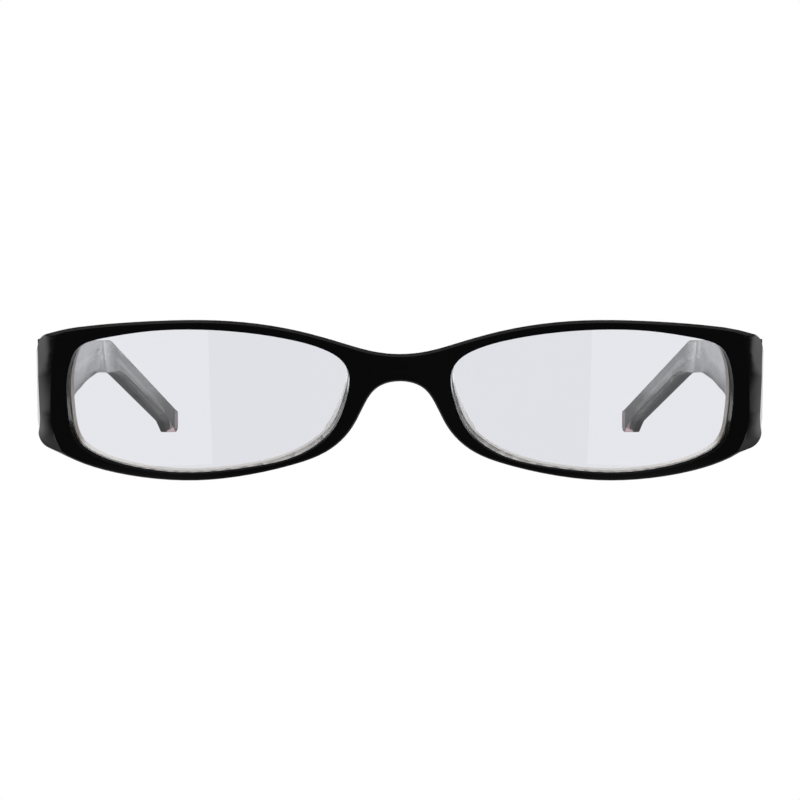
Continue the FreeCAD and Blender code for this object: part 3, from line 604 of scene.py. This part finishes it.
def trimDroop(local):
    if armForm["droopStart"] < local.y < armForm["droopEnd"]:
        low, high = readTable(armForm["underWas"], local.y), readTable(armForm["overWas"], local.y)
        newLow, newHigh = readTable(armForm["underIs"], local.y), readTable(armForm["overIs"], local.y)
        if local.z < low + armForm["snap"]:
            local.z = newLow
        elif local.z > high - armForm["snap"]:
            local.z = newHigh
        else:
            local.z = newLow + (newHigh - newLow) * (local.z - low) / (high - low)
    elif local.y >= armForm["droopEnd"] and local.z > armForm["tipFoot"]:
        local.z -= armForm["tipDrop"]


def trimArm(local, side):
    trimSeat(local, side)
    trimDroop(local)


def makeArm(hand, side):
    across, along, up = armForm["origin"]
    armPlace = tilted((side * across, along, up), armForm["turnDegrees"])

    def shapeArm(piece):
        reshape(piece, armPlace, trimArm)

    arm = "arm_" + hand
    inner = "temple_inner_layer_" + hand
    dress("temple_outer_layer_" + hand, "armOutside_" + hand, arm, armOutside, shapeArm, (-side, 0, 0))
    inside = dress(inner, "armInside_" + hand, arm, armInside, shapeArm, (side, 0, 0))
    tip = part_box(inner)[1][1] - armForm["tipLength"] * millimetre
    secondFinish(inside, "tip", lambda face: face.center.y > tip)
    dress("core_wire_" + hand, "coreWire_" + hand, arm, coreWire, shapeArm)


lenses = {}
pads = []
for hand, side in hands.items():
    lenses[hand] = makeLens(hand, side)
    pads.append(dress("nose_pad_" + hand, "nosePad_" + hand, "front", nosePad, shapePad))
    makeHinge(hand)
    makeArm(hand, side)

print("stage and light")
white = (1, 1, 1, 1)
# where strips of the floor and the room begin and end, and how bright each looks in the gloss
floorCards = {
    "size": 8.0, "drop": 0.0002, "under": (-0.074, -0.06), "underGlow": 0.5, "far": (0.05, 0.2),
    "flank": (0.075, 0.095), "beside": (-0.0655, -0.0555), "besideGlow": 2.1,
}
roomCards = {
    "flank": (0.8, 1.0), "flankGlow": 1.2, "back": (-0.2, 0.6), "frontGlow": 0.01, "backGlow": 0.1,
    "horizon": (0.6, 0.9), "horizonHeight": (0.12, 0.35), "horizonGlow": 0.9,
}


def mirrored(tree):
    path = tree.nodes.new("ShaderNodeLightPath").outputs  # true once a ray has met a polished surface
    gloss = arithmetic(tree, "GREATER_THAN", path["Glossy Depth"], 0.5)
    matt = arithmetic(tree, "SUBTRACT", 1, path["Is Diffuse Ray"])
    return arithmetic(tree, "MULTIPLY", gloss, matt)


def placeParts(tree, coordinates):
    place = tree.nodes.new("ShaderNodeTexCoord").outputs[coordinates]
    parts = addNode(tree, "SeparateXYZ", {"Vector": place}).outputs
    return arithmetic(tree, "ABSOLUTE", parts["X"]), parts["Y"], parts["Z"]


def paleWithCards(tree, plain, cards, output):
    wire(tree, plain, {"Color": white})
    mix = addNode(tree, "MixShader", {"Fac": mirrored(tree), 1: plain.outputs[0], 2: cards.outputs[0]})
    wire(tree, tree.nodes[output], {"Surface": mix.outputs["Shader"]})


def makeFloor():
    bpy.ops.object.select_all(action="DESELECT")
    bpy.ops.mesh.primitive_plane_add(size=floorCards["size"], location=(0, 0, -floorCards["drop"]))
    floor = bpy.context.object
    floor.name = "paleFloor"
    bpy.ops.object.transform_apply(location=True, rotation=True, scale=True)
    material = bpy.data.materials.new("paleFloor")
    material.use_nodes = True
    tree = material.node_tree
    tree.nodes.remove(tree.nodes["Principled BSDF"])
    out, back, _ = placeParts(tree, "Object")
    flank = slope(tree, out, floorCards["flank"], 0, 1)
    under = slope(tree, back, floorCards["under"], 0, floorCards["underGlow"])
    far = slope(tree, back, floorCards["far"], 0, roomCards["horizonGlow"] - floorCards["underGlow"])
    beside = slope(tree, back, floorCards["beside"], 0, floorCards["besideGlow"])
    middle = arithmetic(tree, "MULTIPLY", arithmetic(tree, "ADD", under, far),
                        arithmetic(tree, "SUBTRACT", 1, flank))
    strength = arithmetic(tree, "ADD", middle, arithmetic(tree, "MULTIPLY", beside, flank))
    paper = tree.nodes.new("ShaderNodeEmission")
    paleWithCards(tree, paper, addNode(tree, "Emission", {"Strength": strength}), "Material Output")
    floor.data.materials.append(material)


def makeRoom():
    world = bpy.data.worlds.new("paleStudio")
    bpy.context.scene.world = world
    world.use_nodes = True
    tree = world.node_tree
    out, back, up = placeParts(tree, "Generated")
    flank = slope(tree, out, roomCards["flank"], 0, roomCards["flankGlow"])
    wall = slope(tree, back, roomCards["back"], roomCards["frontGlow"], roomCards["backGlow"])
    low = slope(tree, up, roomCards["horizonHeight"], roomCards["horizonGlow"], 0)
    horizon = arithmetic(tree, "MULTIPLY", slope(tree, back, roomCards["horizon"], 0, 1), low)
    strength = arithmetic(tree, "ADD", arithmetic(tree, "ADD", flank, wall), horizon)
    walls = tree.nodes["Background"]
    paleWithCards(tree, walls, addNode(tree, "Background", {"Strength": strength}), "World Output")


def addLamp(name, side, place, energy):
    data = bpy.data.lights.new(name, "AREA")
    data.energy = energy
    lamp = bpy.data.objects.new(name, data)
    bpy.context.scene.collection.objects.link(lamp)
    lamp.location = (side * place[0], place[1], place[2])
    lamp.visible_camera = False
    lamp.visible_transmission = False
    return lamp


def gathered(name, pieces):
    group = bpy.data.collections.new(name)
    for piece in pieces:
        group.objects.link(piece)
    return group


# the pale card that the outer half of each lens mirrors
lensLight = {"place": (0.072, -0.1013, 0.0006), "width": 0.06, "depth": 0.07, "turnDegrees": 11,
             "brightness": 1.05}


def makeLensLight(hand, side):
    energy = lensLight["brightness"] * math.pi * lensLight["width"] * lensLight["depth"]
    lamp = addLamp("lensLight_" + hand, side, lensLight["place"], energy)
    lamp.data.shape = "RECTANGLE"
    lamp.data.size = lensLight["width"]
    lamp.data.size_y = lensLight["depth"]
    lamp.rotation_euler = (math.pi, 0, side * math.radians(lensLight["turnDegrees"]))
    lamp.light_linking.receiver_collection = gathered(lamp.name + "_lit", [lenses[hand]])


# lets the clear layer glow inside the rims, shaded by the black front alone
wallLight = {"place": (0.35, -0.55, 0.42), "aim": (0, -0.07, 0.012), "size": 0.25, "energy": 2.1}


def makeWallLight(hand, side):
    lamp = addLamp("wallLight_" + hand, side, wallLight["place"], wallLight["energy"])
    lamp.data.size = wallLight["size"]
    aim = Vector(wallLight["aim"]) - lamp.location
    lamp.rotation_euler = aim.to_track_quat("-Z", "Y").to_euler()
    lamp.light_linking.receiver_collection = gathered(lamp.name + "_lit", [backPiece, *pads])
    lamp.light_linking.blocker_collection = gathered(lamp.name + "_blocking", [frontPiece])


makeFloor()
makeRoom()
for hand, side in hands.items():
    makeLensLight(hand, side)
    makeWallLight(hand, side)
bpy.context.scene.view_settings.view_transform = "Standard"
